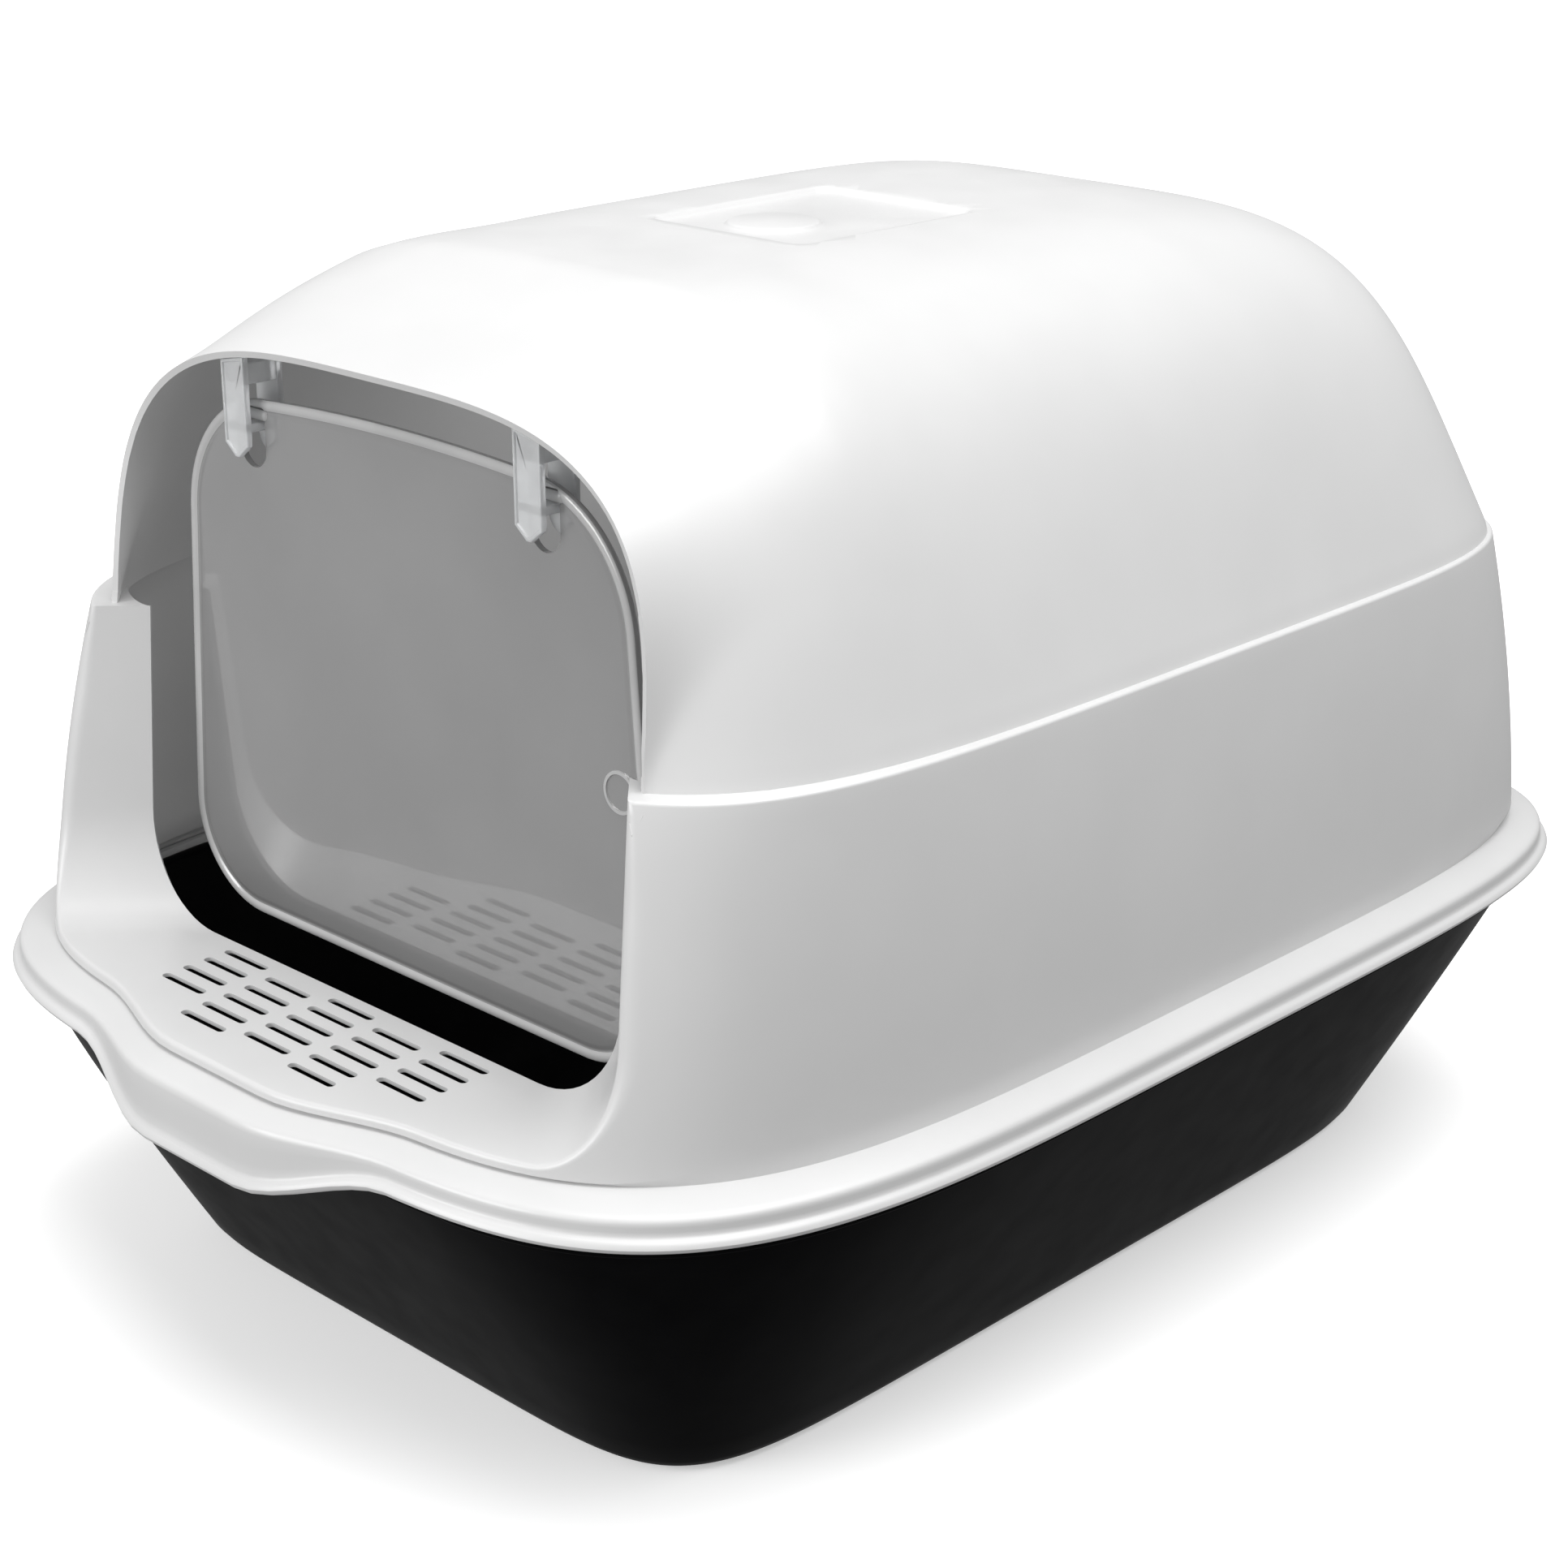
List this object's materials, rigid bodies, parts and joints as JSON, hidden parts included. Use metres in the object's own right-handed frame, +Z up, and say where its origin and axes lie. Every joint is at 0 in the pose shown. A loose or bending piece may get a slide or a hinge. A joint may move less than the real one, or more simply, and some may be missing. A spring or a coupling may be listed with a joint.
{
  "type": "hooded cat litter box",
  "caption": "Hooded litter box: black tray, white lift-off hood with slotted entry shelf, clear swing door hung in forked hangers, carbon filter under the roof.",
  "frame": {"origin": "on the floor, under the middle of the whole box", "axes": "+Z up, +Y towards the rear, so the entrance faces -Y; +X to the right seen from the front"},
  "size_m": [0.431, 0.582, 0.3885],
  "materials": {
    "tray_black": "satin moulded polypropylene",
    "hood_white": "semi-gloss moulded polypropylene",
    "door_smoke": "translucent smoky, glossy",
    "hanger_clear": "clear moulded, glossy",
    "holder_white": "satin",
    "filter_carbon": "open felted fibre"
  },
  "bodies": {
    "tray": {"tray": "tray_black"},
    "hood": {"hood": "hood_white", "hanger_left": "hanger_clear", "hanger_right": "hanger_clear"},
    "door": {"door_flap": "door_smoke"},
    "filter": {"filter_holder": "holder_white", "carbon_filter": "filter_carbon"}
  },
  "joints": [
    {"name": "hood_lift", "type": "slide", "parent": "tray", "child": "hood", "axis": [0, 0, 1], "range_m": [0, 0.3]},
    {"name": "door_swing", "type": "hinge", "parent": "hood", "child": "door", "pos_m": [0, -0.189, 0.3355], "axis": [1, 0, 0], "range_deg": [-45, 45]},
    {"name": "filter_drop", "type": "slide", "parent": "hood", "child": "filter", "axis": [0, 0, -1], "range_m": [0, 0.06]}
  ]
}
